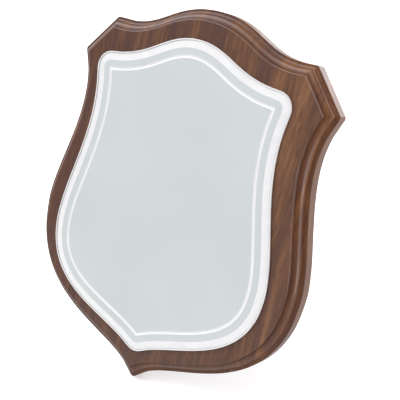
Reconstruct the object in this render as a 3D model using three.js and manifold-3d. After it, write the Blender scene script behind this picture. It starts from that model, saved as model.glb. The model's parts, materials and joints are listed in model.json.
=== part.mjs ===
// A walnut shield plaque: a foil-wrapped MDF board with an ovolo moulding, a bevelled silver
// plate on its front, and a folding easel strut, a sawtooth hanger and wall bumpers on its back.
//
// Millimetres, +Z up. The board's own frame has x to the viewer's right, y going back from the
// front face and z up the board from the point of the front face. It leans back on its tip.
import * as THREE from 'three';
import { mergeVertices } from 'three/addons/utils/BufferGeometryUtils.js';
import Module from 'manifold-3d';

const wasm = await Module();
wasm.setup();

// ---- driving dimensions ------------------------------------------------------------------

const LEAN = THREE.MathUtils.degToRad(22);        // board, back from the vertical
const STRUT_ANGLE = THREE.MathUtils.degToRad(26); // strut, out from the back of the board
const FIT_GAP = 0.2;                              // between two pieces glued face to face
const SEAT_GAP = 0.05;                            // between a head or leaf and what it sits on

// Outlines are right halves, from the tip up to the crest: a node is `at` a point and its
// handles, for the curve that arrives and the one that leaves, are counted from there.
const FACE_NODES = [
  { at: [0, 0], leave: [23.8, 25.4] },
  { at: [105.5, 94.7], arrive: [0, -76.2], leave: [0, 31.9] },
  { at: [97.4, 215.7], arrive: [-18.5, -40.6] },
  { at: [79.2, 237], leave: [-39.9, -2.7] },
  { at: [0, 256.6], arrive: [35, 0] },
];
// The plate's engraved line. The plate's other edges run parallel to it.
const LINE_NODES = [
  { at: [0, 26.2], leave: [32.3, 18.2] },
  { at: [80.8, 88.4], arrive: [0, -44.3], leave: [0, 32.7] },
  { at: [68.7, 210.3], arrive: [-10.5, -50.2], leave: [-38, 3] },
  { at: [0, 231.2], arrive: [22, 0] },
];
// The plate is glued on by hand, a little askew. Zeroes here would set it straight.
const PLATE_TURN = THREE.MathUtils.degToRad(1.6);     // its top to the viewer's left
const PLATE_MIDDLE = new THREE.Vector2(0, 120);       // the point it is turned about
const PLATE_SHIFT = new THREE.Vector2(-1.3, 0);
const CURVE_STEPS = 12;
const CORNER_ANGLE = 0.35; // a sharper turn than this is a corner, in radians
const CORNER_STEPS = 3;

const BOARD_DEPTH = 18;
const MOULDING_WIDTH = 8.8;
const CORNER_RADIUS = 3;   // of the outermost edge
const EDGE_BREAK = 0.4;
const ROUND_OVER = 0.9;     // of the front face's edge
const STEP_WIDTH = 1.5;
const STEP_DEPTH = 3.4;
const OVOLO_RADIUS = 4.4;
const MOULDING_STEPS = 3;
const FILLET_DEPTH = 8.3;  // of the flat outside the ovolo
const WRAP = 0.5;          // foil thickness
const LAMINATE = 0.5;

const ADHESIVE = 0.4;
const ADHESIVE_EDGE = 10.4; // outside the engraved line
const PLATE_THICKNESS = 1.5;
const PLATE_EDGE = 12.4;    // outside the engraved line
const LIP_WIDTH = 0.9;
const BEVEL_INNER = 6.1;    // outside the engraved line
const BEVEL_DROP = 0.45;
const GROOVE_HALF_WIDTH = 0.7;
const GROOVE_DEPTH = 0.25;

const HINGE_HEIGHT = 224;   // up the board's back
const SHEET = 0.8;          // hinge leaves and hanger
const PIN_RADIUS = 1.3;
const PIN_CLEARANCE = 0.05;
const PIN_HEAD_RADIUS = 1.9;
const PIN_HEAD = 0.8;
const KNUCKLE_GAP = 0.4;
const CENTRE_KNUCKLE = 11;
const LEAF_HALF_WIDTH = 13;
const LEAF_START = 3;       // from the pin to a leaf's flat part
const BOARD_LEAF_HEIGHT = 14;
const STRUT_LEAF_HALF_WIDTH = 20;
const STRUT_LEAF_HEIGHT = 27;
const STOP_ARM_WIDTH = 5;
const STOP_ARM_LENGTH = 7;
const STOP_GAP = 0.3;
const BOARD_LEAF_LIFT = 0.1; // off the laminate
const STRUT_LEAF_LIFT = 0.5; // off the laminate, when folded

const STRUT_THICKNESS = 4;
const STRUT_TOP_HALF_WIDTH = 21;
const STRUT_WAIST_HALF_WIDTH = 13;
const STRUT_FOOT_HALF_WIDTH = 24;
const FOOT_LENGTH = 11;
const FOOT_HEIGHT = 8;
const FOOT_FLOOR = 2.5;
const FOOT_WALL = 0.8;
const FOOT_GAP = 0.1;       // between a shoe and the leg it is pushed on to
const ARCH_HEIGHT = 7;      // of the notch between the two feet
const WAIST_HANDLE = 50;    // reach of the curves that narrow the leg

const HANGER_HEIGHT = 250;  // of its middle, up the board's back
const HANGER_HALF_LENGTH = 23;
const HANGER_WIDTH = 9;
const HANGER_LIFT = 0.1;    // off the laminate
const HANGER_RISE = 1.8;
const HANGER_END = 9;       // flat end that takes the screw
const HANGER_SLOPE = 2;     // length of the bend up to the raised middle
const TOOTH = 2;
const TOOTH_DEPTH = 1.4;

const BUMPER_RADIUS = 6.4;
const BUMPER_HEIGHT = 7.5;
const BUMPER_TAPER = 0.9;
const BUMPER_CHAMFER = 1;
const BUMPER_PLACES = [['upper', 78, 204], ['lower', 72, 60]];

const SCREW_RADIUS = 1.6;
const SCREW_LENGTH = 11;
const SCREW_TIP = 4;
const SCREW_HEAD_RADIUS = 2.9;
const SCREW_HEAD_HEIGHT = 1.5;
const RIVET_HEAD_HEIGHT = 1.1;
const ROUND_STEPS = 16;

// ---- materials ---------------------------------------------------------------------------

const finish = (color, roughness, metalness) =>
  new THREE.MeshStandardMaterial({ color, roughness, metalness });
const WALNUT_FOIL = finish(0x6b4f42, 0.3, 0);
const MDF = finish(0xa88a66, 0.9, 0);
const BROWN_PAPER = finish(0x4a3a30, 0.8, 0);
const SILVER = finish(0xd3d9db, 0.35, 1);
const CLEAR_GLUE = finish(0xe8e6df, 0.6, 0);
const BLACK_BOARD = finish(0x1c1b1a, 0.6, 0);
const STEEL = finish(0x9a9da0, 0.35, 1);
const BRASSED_STEEL = finish(0xb08f4a, 0.35, 1);
const RUBBER = finish(0x222222, 0.8, 0);

// ---- meshes and booleans -----------------------------------------------------------------

// One closed body: shared vertices, no slivers of zero area, faces pointing out.
function closed(geometry) {
  const source = geometry.clone();
  source.deleteAttribute('normal');
  source.deleteAttribute('uv');
  const merged = mergeVertices(source, 1e-3);
  const corner = (i) => new THREE.Vector3().fromBufferAttribute(merged.attributes.position, i);
  const faces = [];
  let volume = 0;
  for (let i = 0; i < merged.index.count; i += 3) {
    const [a, b, c] = [0, 1, 2].map((k) => merged.index.getX(i + k));
    if (a === b || b === c || c === a) continue;
    faces.push([a, b, c]);
    volume += corner(a).dot(corner(b).cross(corner(c)));
  }
  merged.setIndex(faces.flatMap(([a, b, c]) => (volume > 0 ? [a, b, c] : [a, c, b])));
  return merged;
}

const toSolid = (geometry) => {
  const { attributes, index } = closed(geometry);
  const vertProperties = new Float32Array(attributes.position.array);
  const triVerts = new Uint32Array(index.array);
  return new wasm.Manifold(new wasm.Mesh({ numProp: 3, vertProperties, triVerts }));
};

function fromSolid(solid) {
  const mesh = solid.getMesh();
  const geometry = new THREE.BufferGeometry();
  geometry.setAttribute('position', new THREE.BufferAttribute(mesh.vertProperties, 3));
  geometry.setIndex(new THREE.BufferAttribute(mesh.triVerts, 1));
  return geometry;
}

const cut = (geometry, ...tools) =>
  fromSolid(tools.reduce((solid, tool) => solid.subtract(toSolid(tool)), toSolid(geometry)));
const join = (geometry, ...others) =>
  fromSolid(others.reduce((solid, other) => solid.add(toSolid(other)), toSolid(geometry)));

function piece(name, geometry, material, position = [0, 0, 0]) {
  const shape = closed(geometry).toNonIndexed();
  shape.computeVertexNormals();
  const mesh = new THREE.Mesh(shape, material);
  mesh.name = name;
  mesh.position.set(...position);
  return mesh;
}

// ---- outlines ----------------------------------------------------------------------------

// Closed outline from the nodes of its right half. A stretch without handles is straight.
function mirrored(nodes) {
  const half = new THREE.Path().moveTo(...nodes[0].at);
  nodes.slice(1).forEach((node, i) => {
    const last = nodes[i];
    const [fromX, fromY] = last.at;
    const [x, y] = node.at;
    if (!last.leave || !node.arrive) {
      half.lineTo(x, y);
      return;
    }
    const [leaveX, leaveY] = last.leave;
    const [arriveX, arriveY] = node.arrive;
    half.bezierCurveTo(fromX + leaveX, fromY + leaveY, x + arriveX, y + arriveY, x, y);
  });
  const right = half.getPoints(CURVE_STEPS);
  const inner = right.filter((p) => p.x > 1e-6);
  const left = inner.reverse().map((p) => new THREE.Vector2(-p.x, p.y));
  return [...right, ...left];
}

// Outline moved outward by `distance`. Corners stay sharp up to `sharp` and are round beyond it,
// and every corner always gives the same number of points.
function parallel(outline, distance, sharp) {
  const count = outline.length;
  const normal = (a, b) => new THREE.Vector2(b.y - a.y, a.x - b.x).normalize();
  return outline.flatMap((point, i) => {
    const before = normal(outline[(i + count - 1) % count], point);
    const after = normal(point, outline[(i + 1) % count]);
    const mitre = before.clone().add(after).divideScalar(1 + before.dot(after));
    const turn = Math.atan2(before.cross(after), before.dot(after));
    if (turn < CORNER_ANGLE) return [point.clone().addScaledVector(mitre, distance)];
    const centre = point.clone().addScaledVector(mitre, Math.min(distance, sharp));
    const radius = Math.max(distance - sharp, 0);
    return Array.from({ length: CORNER_STEPS + 1 }, (_, k) => {
      const spoke = before.clone().rotateAround(new THREE.Vector2(), (turn * k) / CORNER_STEPS);
      return centre.clone().addScaledVector(spoke, radius);
    });
  });
}

// Ring of an outline at a depth, in the board's frame.
const ring = (points, y) => points.map((p) => new THREE.Vector3(p.x, y, p.y));

// Skin over a row of rings with equal counts. `ends` is 'capped' or, for a ring-shaped solid,
// 'joined', where the last ring meets the first.
function skin(rings, ends) {
  const size = rings[0].length;
  const positions = rings.flat().flatMap((v) => [v.x, v.y, v.z]);
  const index = [];
  const bands = ends === 'joined' ? rings.length : rings.length - 1;
  for (let r = 0; r < bands; r += 1) {
    const lower = r * size;
    const upper = ((r + 1) % rings.length) * size;
    for (let i = 0; i < size; i += 1) {
      const j = (i + 1) % size;
      index.push(lower + i, lower + j, upper + j, lower + i, upper + j, upper + i);
    }
  }
  if (ends === 'capped') {
    index.push(...cap(rings[0], 0).flatMap(([a, b, c]) => [a, c, b]));
    index.push(...cap(rings.at(-1), (rings.length - 1) * size).flat());
  }
  const geometry = new THREE.BufferGeometry();
  geometry.setAttribute('position', new THREE.Float32BufferAttribute(positions, 3));
  geometry.setIndex(index);
  return geometry;
}

// Triangles across a ring, counted from `first`. Points that coincide are used once.
function cap(points, first) {
  const used = points.map((v, i) => i).filter((i) => i === 0 || points[i].distanceTo(points[i - 1]) > 1e-6);
  const flat = used.map((i) => new THREE.Vector2(points[i].x, points[i].z));
  return THREE.ShapeUtils.triangulateShape(flat, []).map((face) => face.map((k) => first + used[k]));
}

// ---- simple solids -----------------------------------------------------------------------

const shapeOf = (corners) => new THREE.Shape(corners.map(([a, b]) => new THREE.Vector2(a, b)));

// A shape in (x, z), from depth y0 to depth y1.
function sheet(shape, y0, y1) {
  const options = { depth: y1 - y0, bevelEnabled: false, curveSegments: CURVE_STEPS };
  return new THREE.ExtrudeGeometry(shape, options).rotateX(Math.PI / 2).translate(0, y1, 0);
}

// A shape in (y, z), from x0 to x1.
function bar(shape, x0, x1) {
  const options = { depth: x1 - x0, bevelEnabled: false, curveSegments: CURVE_STEPS };
  const toBar = new THREE.Matrix4().makeBasis(
    new THREE.Vector3(0, 1, 0), new THREE.Vector3(0, 0, 1), new THREE.Vector3(1, 0, 0));
  return new THREE.ExtrudeGeometry(shape, options).applyMatrix4(toBar).translate(x0, 0, 0);
}

const block = (x0, x1, y0, y1, z0, z1) =>
  sheet(shapeOf([[x0, z0], [x1, z0], [x1, z1], [x0, z1]]), y0, y1);

// A turned solid whose axis is y; the profile's points are [radius, y].
const turned = (profile) =>
  new THREE.LatheGeometry(profile.map(([r, y]) => new THREE.Vector2(r, y)), ROUND_STEPS);

const rod = (radius, y0, y1) => turned([[0, y0], [radius, y0], [radius, y1], [0, y1]]);
const rodX = (radius, x0, x1) => rod(radius, x0, x1).rotateZ(-Math.PI / 2);

// ---- board -------------------------------------------------------------------------------

// Quarter round that starts flat at [distance outside the face, depth] and turns to the back.
function quarterRound([distance, depth], radius, steps) {
  return Array.from({ length: steps + 1 }, (_, k) => {
    const angle = (k / steps) * (Math.PI / 2);
    return [distance + radius * Math.sin(angle), depth + radius * (1 - Math.cos(angle))];
  });
}

// Moulding, from the front face to the back: [distance outside the face, depth].
function moulding() {
  return [
    ...quarterRound([0, 0], ROUND_OVER, MOULDING_STEPS),
    ...quarterRound([STEP_WIDTH, STEP_DEPTH], OVOLO_RADIUS, MOULDING_STEPS),
    [STEP_WIDTH + OVOLO_RADIUS + EDGE_BREAK / 2, FILLET_DEPTH - EDGE_BREAK / 2],
    [MOULDING_WIDTH - EDGE_BREAK, FILLET_DEPTH],
    [MOULDING_WIDTH, FILLET_DEPTH + EDGE_BREAK],
  ];
}

const faceLine = mirrored(FACE_NODES);
const SHARP_WIDTH = MOULDING_WIDTH - CORNER_RADIUS;
const boardRing = ([distance, depth], inset = 0) =>
  ring(parallel(faceLine, distance - inset, SHARP_WIDTH - inset), depth + inset);
const boardRings = (inset) => moulding().map((level) => boardRing(level, inset));
const sideLine = (inset) => parallel(faceLine, MOULDING_WIDTH - inset, SHARP_WIDTH - inset);
const sideRing = (inset, depth) => ring(sideLine(inset), depth);
const backEdge = [sideRing(0, BOARD_DEPTH - EDGE_BREAK), sideRing(WRAP / 2, BOARD_DEPTH)];

const CORE_INSET = WRAP + FIT_GAP;
const CORE_BACK = BOARD_DEPTH - LAMINATE - FIT_GAP;

function walnutWrap() {
  const inside = [...boardRings(WRAP), sideRing(WRAP, BOARD_DEPTH)];
  const outside = [...boardRings(0), ...backEdge];
  return skin([...inside, ...outside.reverse()], 'capped');
}

function shieldCore(pilotHoles) {
  const solid = skin([...boardRings(CORE_INSET), sideRing(CORE_INSET, CORE_BACK)], 'capped');
  return cut(solid, ...pilotHoles);
}

function backLaminate(screwHoles) {
  const depths = [BOARD_DEPTH - LAMINATE, BOARD_DEPTH];
  const solid = skin(depths.map((depth) => sideRing(CORE_INSET, depth)), 'capped');
  return cut(solid, ...screwHoles);
}

// ---- plate -------------------------------------------------------------------------------

const asGlued = (point) => point.clone().rotateAround(PLATE_MIDDLE, PLATE_TURN).add(PLATE_SHIFT);
const engravedLine = mirrored(LINE_NODES).map(asGlued);
// Ring of the plate: distance outside the engraved line, height in front of the board.
const plateRing = ([distance, height]) => ring(parallel(engravedLine, distance, 0), -height);

function plateAdhesive() {
  const low = FIT_GAP / 2;
  return skin([plateRing([ADHESIVE_EDGE, low]), plateRing([ADHESIVE_EDGE, ADHESIVE])], 'capped');
}

function awardPlate() {
  const low = ADHESIVE + FIT_GAP / 2;
  const top = ADHESIVE + PLATE_THICKNESS;
  const channel = PLATE_EDGE - LIP_WIDTH;
  const levels = [
    [PLATE_EDGE - EDGE_BREAK / 2, low],
    [PLATE_EDGE, low + EDGE_BREAK / 2],
    [PLATE_EDGE, top - EDGE_BREAK / 2],
    [PLATE_EDGE - EDGE_BREAK / 2, top],
    [channel, top],
    [channel - EDGE_BREAK / 2, top - BEVEL_DROP],
    [BEVEL_INNER, top],
  ];
  const groove = [
    [-GROOVE_HALF_WIDTH, top],
    [-GROOVE_HALF_WIDTH, top + GROOVE_DEPTH],
    [GROOVE_HALF_WIDTH, top + GROOVE_DEPTH],
    [GROOVE_HALF_WIDTH, top],
    [0, top - GROOVE_DEPTH],
  ];
  const sharpRing = ([distance, height]) => ring(parallel(engravedLine, distance, distance), -height);
  return cut(skin(levels.map(plateRing), 'capped'), skin(groove.map(sharpRing), 'joined'));
}

// ---- fasteners ---------------------------------------------------------------------------

// Pan-head wood screw; y = 0 is the underside of its head.
function woodScrew() {
  return turned([
    [0, -SCREW_LENGTH],
    [SCREW_RADIUS * 0.8, -SCREW_LENGTH + SCREW_TIP * 0.75],
    [SCREW_RADIUS, -SCREW_LENGTH + SCREW_TIP],
    [SCREW_RADIUS, 0],
    [SCREW_HEAD_RADIUS, 0],
    [SCREW_HEAD_RADIUS, SCREW_HEAD_HEIGHT * 0.4],
    [SCREW_HEAD_RADIUS * 0.75, SCREW_HEAD_HEIGHT * 0.9],
    [0, SCREW_HEAD_HEIGHT],
  ]);
}

const HOLE_RADIUS = SCREW_RADIUS + FIT_GAP;
const screwHole = (x, z, y0, y1) => rod(HOLE_RADIUS, y0, y1).translate(x, 0, z);

// ---- hinge, in a frame whose origin is the middle of the pin -----------------------------

const KNUCKLE_BORE = PIN_RADIUS + PIN_CLEARANCE;
const KNUCKLE_RADIUS = KNUCKLE_BORE + SHEET;
const PIN_LIFT = BOARD_LEAF_LIFT + KNUCKLE_RADIUS; // pin's middle, off the laminate
const STRUT_LEAF_Y = STRUT_LEAF_LIFT - PIN_LIFT;
const STRUT_Y = STRUT_LEAF_Y + SHEET + SEAT_GAP;

const BOARD_LEAF_SCREWS = [['left', -8, 7.5], ['right', 8, 7.5], ['middle', 0, 12.5]];
const STRUT_RIVETS = [['left', -12, -11], ['right', 12, -11], ['middle', 0, -23]];

function hingePin() {
  const neck = LEAF_HALF_WIDTH + FIT_GAP;
  const end = neck + PIN_HEAD;
  return turned([
    [0, -end],
    [PIN_HEAD_RADIUS * 0.6, -end],
    [PIN_HEAD_RADIUS, -neck - PIN_HEAD / 2],
    [PIN_HEAD_RADIUS, -neck],
    [PIN_RADIUS, -neck],
    [PIN_RADIUS, neck],
    [PIN_HEAD_RADIUS, neck],
    [PIN_HEAD_RADIUS, neck + PIN_HEAD / 2],
    [PIN_HEAD_RADIUS * 0.6, end],
    [0, end],
  ]).rotateZ(-Math.PI / 2);
}

const knuckle = (x0, x1) => cut(rodX(KNUCKLE_RADIUS, x0, x1), rodX(KNUCKLE_BORE, x0 - 1, x1 + 1));

function boardLeaf() {
  const y0 = -KNUCKLE_RADIUS;
  const y1 = y0 + SHEET;
  const inner = CENTRE_KNUCKLE / 2 + KNUCKLE_GAP;
  const top = LEAF_START + BOARD_LEAF_HEIGHT;
  const flat = block(-LEAF_HALF_WIDTH, LEAF_HALF_WIDTH, y0, y1, LEAF_START, top);
  const sides = [[-LEAF_HALF_WIDTH, -inner], [inner, LEAF_HALF_WIDTH]];
  const parts = sides.flatMap(([x0, x1]) => [knuckle(x0, x1), block(x0, x1, y0, y1, 0, LEAF_START + 1)]);
  const holes = BOARD_LEAF_SCREWS.map(([, x, z]) => screwHole(x, z, y0 - 1, y1 + 1));
  return cut(join(flat, ...parts), ...holes);
}

// Side view of a stop arm: it lies flat on the back of the board when the strut is open.
function stopArmShape() {
  const out = (across, up) => [
    across * Math.cos(STRUT_ANGLE) + up * Math.sin(STRUT_ANGLE),
    -across * Math.sin(STRUT_ANGLE) + up * Math.cos(STRUT_ANGLE),
  ];
  const board = STOP_GAP - PIN_LIFT;
  const bend = (y, across) => {
    const up = (y - across * Math.cos(STRUT_ANGLE)) / Math.sin(STRUT_ANGLE);
    return out(across, up);
  };
  return shapeOf([
    [STRUT_LEAF_Y, -LEAF_START - 1],
    [STRUT_LEAF_Y + SHEET, -LEAF_START - 1],
    bend(STRUT_LEAF_Y + SHEET, board + SHEET),
    out(board + SHEET, STOP_ARM_LENGTH),
    out(board, STOP_ARM_LENGTH),
    bend(STRUT_LEAF_Y, board),
  ]);
}

function strutLeaf() {
  const y1 = STRUT_LEAF_Y + SHEET;
  const half = STRUT_LEAF_HALF_WIDTH;
  const flat = block(-half, half, STRUT_LEAF_Y, y1, -LEAF_START - STRUT_LEAF_HEIGHT, -LEAF_START);
  const middle = CENTRE_KNUCKLE / 2;
  const tongue = block(-middle, middle, STRUT_LEAF_Y, y1, -LEAF_START - 1, -PIN_RADIUS);
  const arms = [[-half, -half + STOP_ARM_WIDTH], [half - STOP_ARM_WIDTH, half]]
    .map(([x0, x1]) => bar(stopArmShape(), x0, x1));
  const holes = STRUT_RIVETS.map(([, x, z]) => screwHole(x, z, STRUT_LEAF_Y - 1, y1 + 1));
  return cut(join(flat, knuckle(-middle, middle), tongue, ...arms), ...holes);
}

function strutRivet() {
  const front = STRUT_LEAF_Y + SEAT_GAP;
  const back = STRUT_Y + STRUT_THICKNESS;
  return turned([
    [0, front],
    [SCREW_RADIUS, front],
    [SCREW_RADIUS, back + SEAT_GAP],
    [SCREW_HEAD_RADIUS, back + SEAT_GAP],
    [SCREW_HEAD_RADIUS * 0.8, back + RIVET_HEAD_HEIGHT * 0.64],
    [0, back + RIVET_HEAD_HEIGHT],
  ]);
}

// ---- strut -------------------------------------------------------------------------------

// The board leant back, and the lowest point of its tip, where it rests on the ground.
const leant = (v) => new THREE.Vector3(v.x, v.y, v.z).applyAxisAngle(new THREE.Vector3(1, 0, 0), -LEAN);
const tip = backEdge.flat().map(leant).reduce((low, v) => (v.z < low.z ? v : low));

const PIN_Y = BOARD_DEPTH + PIN_LIFT;
const PIN_HEIGHT = leant(new THREE.Vector3(0, PIN_Y, HINGE_HEIGHT)).z - tip.z;
const STRUT_TILT = STRUT_ANGLE - LEAN;
// Where the ground cuts the strut's own frame, at depth y.
const groundZ = (y) => -PIN_HEIGHT / Math.cos(STRUT_TILT) - y * Math.tan(STRUT_TILT);
const STRUT_END = groundZ(0) + FOOT_FLOOR + 0.3;
const STRUT_START = -LEAF_START - 0.5;

function strutLeg() {
  const footTop = STRUT_END + FOOT_HEIGHT + 2;
  const waist = (STRUT_START + footTop) / 2;
  const archHalfWidth = STRUT_FOOT_HALF_WIDTH - FOOT_LENGTH - 1;
  const outline = mirrored([
    { at: [0, STRUT_END + ARCH_HEIGHT], leave: [archHalfWidth * 0.7, 0] },
    { at: [archHalfWidth, STRUT_END], arrive: [0, ARCH_HEIGHT / 2] },
    { at: [STRUT_FOOT_HALF_WIDTH, STRUT_END] },
    { at: [STRUT_FOOT_HALF_WIDTH, footTop], leave: [0, WAIST_HANDLE * 0.6] },
    { at: [STRUT_WAIST_HALF_WIDTH, waist], arrive: [0, -WAIST_HANDLE], leave: [0, WAIST_HANDLE * 0.8] },
    { at: [STRUT_TOP_HALF_WIDTH, STRUT_START], arrive: [0, -WAIST_HANDLE] },
    { at: [0, STRUT_START] },
  ]);
  const end = STRUT_Y + STRUT_THICKNESS;
  const holes = STRUT_RIVETS.map(([, x, z]) => screwHole(x, z, STRUT_Y - 1, end + 1));
  return cut(sheet(new THREE.Shape(outline), STRUT_Y, end), ...holes);
}

// A rubber shoe, U-shaped from the side, cut level with the ground when the strut is open.
function strutFoot(x0, x1) {
  const inner = [STRUT_Y - FOOT_GAP, STRUT_Y + STRUT_THICKNESS + FOOT_GAP];
  const outer = [inner[0] - FOOT_WALL, inner[1] + FOOT_WALL];
  const top = STRUT_END + FOOT_HEIGHT - FOOT_FLOOR;
  const shape = shapeOf([
    [outer[0], groundZ(outer[0])],
    [outer[1], groundZ(outer[1])],
    [outer[1], top],
    [inner[1], top],
    [inner[1], STRUT_END - FOOT_GAP],
    [inner[0], STRUT_END - FOOT_GAP],
    [inner[0], top],
    [outer[0], top],
  ]);
  return bar(shape, x0, x1);
}

// ---- hanger and bumpers, in a frame that sits on the laminate ----------------------------

const HANGER_SCREW_X = HANGER_HALF_LENGTH - HANGER_END * 0.55;

function sawtoothHanger() {
  const half = HANGER_HALF_LENGTH;
  const flat = half - HANGER_END;
  const raised = flat - HANGER_SLOPE;
  const low = HANGER_LIFT;
  const high = HANGER_LIFT + HANGER_RISE;
  const under = [[-half, low], [-flat, low], [-raised, high], [raised, high], [flat, low], [half, low]];
  const over = [...under].reverse().map(([x, y]) => [x, y + SHEET]);
  const strip = new THREE.ExtrudeGeometry(shapeOf([...under, ...over]),
    { depth: HANGER_WIDTH, bevelEnabled: false }).translate(0, 0, -HANGER_WIDTH / 2);
  const count = Math.floor((2 * raised) / TOOTH) - 1;
  const start = (-count * TOOTH) / 2;
  const edge = -HANGER_WIDTH / 2;
  const teeth = Array.from({ length: 2 * count + 1 }, (_, k) =>
    [start + (k * TOOTH) / 2, edge + FIT_GAP + (k % 2) * TOOTH_DEPTH]);
  const below = edge - 1;
  const toothCutter = sheet(shapeOf([[start, below], ...teeth, [-start, below]]), 0, high + SHEET + 1);
  const holes = [-1, 1].map((side) => screwHole(side * HANGER_SCREW_X, 0, -1, high + SHEET));
  return cut(strip, toothCutter, ...holes);
}

function wallBumper() {
  return turned([
    [0, HANGER_LIFT],
    [BUMPER_RADIUS, HANGER_LIFT],
    [BUMPER_RADIUS - BUMPER_TAPER, BUMPER_HEIGHT - BUMPER_CHAMFER],
    [BUMPER_RADIUS - BUMPER_TAPER - BUMPER_CHAMFER, BUMPER_HEIGHT],
    [0, BUMPER_HEIGHT],
  ]);
}

// ---- assembly ----------------------------------------------------------------------------

const LEAF_SCREW_Y = BOARD_DEPTH + BOARD_LEAF_LIFT + SHEET + SEAT_GAP;
const HANGER_SCREW_Y = BOARD_DEPTH + HANGER_LIFT + SHEET + SEAT_GAP;
const leafScrew = ([side, x, z]) => [`board_leaf_screw_${side}`, x, LEAF_SCREW_Y, HINGE_HEIGHT + z];
const screws = [
  ...BOARD_LEAF_SCREWS.map(leafScrew),
  ['hanger_screw_left', -HANGER_SCREW_X, HANGER_SCREW_Y, HANGER_HEIGHT],
  ['hanger_screw_right', HANGER_SCREW_X, HANGER_SCREW_Y, HANGER_HEIGHT],
];
const pilotHoles = screws.map(([, x, y, z]) => screwHole(x, z, y - SCREW_LENGTH - 1, BOARD_DEPTH + 1));

const strut = new THREE.Group();
strut.position.set(0, PIN_Y, HINGE_HEIGHT);
strut.rotation.x = STRUT_ANGLE;
strut.add(
  piece('strut_leg', strutLeg(), BLACK_BOARD),
  piece('strut_hinge_leaf', strutLeaf(), STEEL),
  piece('strut_foot_left', strutFoot(-STRUT_FOOT_HALF_WIDTH, -STRUT_FOOT_HALF_WIDTH + FOOT_LENGTH), RUBBER),
  piece('strut_foot_right', strutFoot(STRUT_FOOT_HALF_WIDTH - FOOT_LENGTH, STRUT_FOOT_HALF_WIDTH), RUBBER),
  ...STRUT_RIVETS.map(([side, x, z]) => piece(`strut_rivet_${side}`, strutRivet(), STEEL, [x, 0, z])),
);

const board = new THREE.Group();
board.rotation.x = -LEAN;
board.position.z = -tip.z;
board.add(
  piece('shield_core', shieldCore(pilotHoles), MDF),
  piece('walnut_wrap', walnutWrap(), WALNUT_FOIL),
  piece('back_laminate', backLaminate(pilotHoles), BROWN_PAPER),
  piece('plate_adhesive', plateAdhesive(), CLEAR_GLUE),
  piece('award_plate', awardPlate(), SILVER),
  piece('board_hinge_leaf', boardLeaf(), STEEL, [0, PIN_Y, HINGE_HEIGHT]),
  piece('hinge_pin', hingePin(), STEEL, [0, PIN_Y, HINGE_HEIGHT]),
  piece('sawtooth_hanger', sawtoothHanger(), BRASSED_STEEL, [0, BOARD_DEPTH, HANGER_HEIGHT]),
  ...screws.map(([name, x, y, z]) => piece(name, woodScrew(), STEEL, [x, y, z])),
  ...BUMPER_PLACES.flatMap(([height, x, z]) => [
    piece(`wall_bumper_${height}_left`, wallBumper(), RUBBER, [-x, BOARD_DEPTH, z]),
    piece(`wall_bumper_${height}_right`, wallBumper(), RUBBER, [x, BOARD_DEPTH, z]),
  ]),
  strut,
);

// The origin is on the ground, under the middle of the plaque's box.
const box = new THREE.Box3().setFromObject(board, true);
board.position.y = -(box.min.y + box.max.y) / 2;

const plaque = new THREE.Group();
plaque.name = 'shield_plaque';
plaque.add(board);

export default plaque;
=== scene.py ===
"""Looks of the walnut shield plaque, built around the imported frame. Metres, +Z up."""
import json
import math

import bmesh
import bpy
import numpy as np
from mathutils import Matrix, Vector


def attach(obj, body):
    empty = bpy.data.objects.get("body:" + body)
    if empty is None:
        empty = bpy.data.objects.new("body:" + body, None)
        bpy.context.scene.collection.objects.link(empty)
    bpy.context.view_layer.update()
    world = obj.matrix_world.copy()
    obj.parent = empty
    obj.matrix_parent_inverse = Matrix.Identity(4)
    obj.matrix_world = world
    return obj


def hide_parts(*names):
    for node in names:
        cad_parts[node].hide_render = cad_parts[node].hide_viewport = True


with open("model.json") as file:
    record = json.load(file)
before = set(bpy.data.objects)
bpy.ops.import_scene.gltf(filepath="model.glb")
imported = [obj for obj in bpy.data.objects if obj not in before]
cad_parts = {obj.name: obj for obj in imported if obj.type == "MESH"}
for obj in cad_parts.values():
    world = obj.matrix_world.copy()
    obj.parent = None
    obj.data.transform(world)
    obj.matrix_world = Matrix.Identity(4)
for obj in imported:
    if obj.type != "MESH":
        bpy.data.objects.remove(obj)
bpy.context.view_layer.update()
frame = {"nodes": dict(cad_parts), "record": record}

MM = 0.001

# ---- the board's own axes, from the record -------------------------------------------------
# x to the viewer's right, y going back through the board, z up along it.

mounts = {mount["name"]: mount for mount in frame["record"]["mounts"]}
BACK = -Vector(mounts["label_face"]["axis"]).normalized()
RIGHT = Vector((1, 0, 0))
UP = RIGHT.cross(BACK).normalized()
BOARD = Matrix((RIGHT, BACK, UP)).transposed().to_4x4()


def points_of(node, axes):
    """A CAD node's vertices, as rows of numbers in the given axes."""
    world = np.array([v.co for v in frame["nodes"][node].data.vertices])
    return world @ np.array(axes.to_3x3())


def span(node, axes=BOARD):
    """Lowest and highest corner of a CAD node along the given axes."""
    points = points_of(node, axes)
    return Vector(points.min(0)), Vector(points.max(0))


def middle(node, axes=BOARD):
    """Middle of a CAD node's box along the given axes."""
    low, high = span(node, axes)
    return (low + high) / 2


FRONT_Y = span("walnut_wrap")[0].y  # depths of the board's front face and of its back
BACK_Y = span("walnut_wrap")[1].y

# The strut's own axes, with the leg in their x and z: its largest flat face looks along their y.
leg_mesh = frame["nodes"]["strut_leg"].data
largest = max(leg_mesh.polygons, key=lambda face: face.area)
LEG_BACK = Vector(largest.normal) if largest.normal.y > 0 else -Vector(largest.normal)
LEG_UP = RIGHT.cross(LEG_BACK).normalized()
STRUT = Matrix((RIGHT, LEG_BACK, LEG_UP)).transposed().to_4x4()


# ---- outlines ------------------------------------------------------------------------------

CORNER_ANGLE = 0.35     # a sharper turn than this is a corner, in radians
CORNER_STEPS = 8        # of a rounded corner
LEVEL_TOLERANCE = 2e-5  # how far a flat face's points may be from its depth
MICRON = 1e-6


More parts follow.
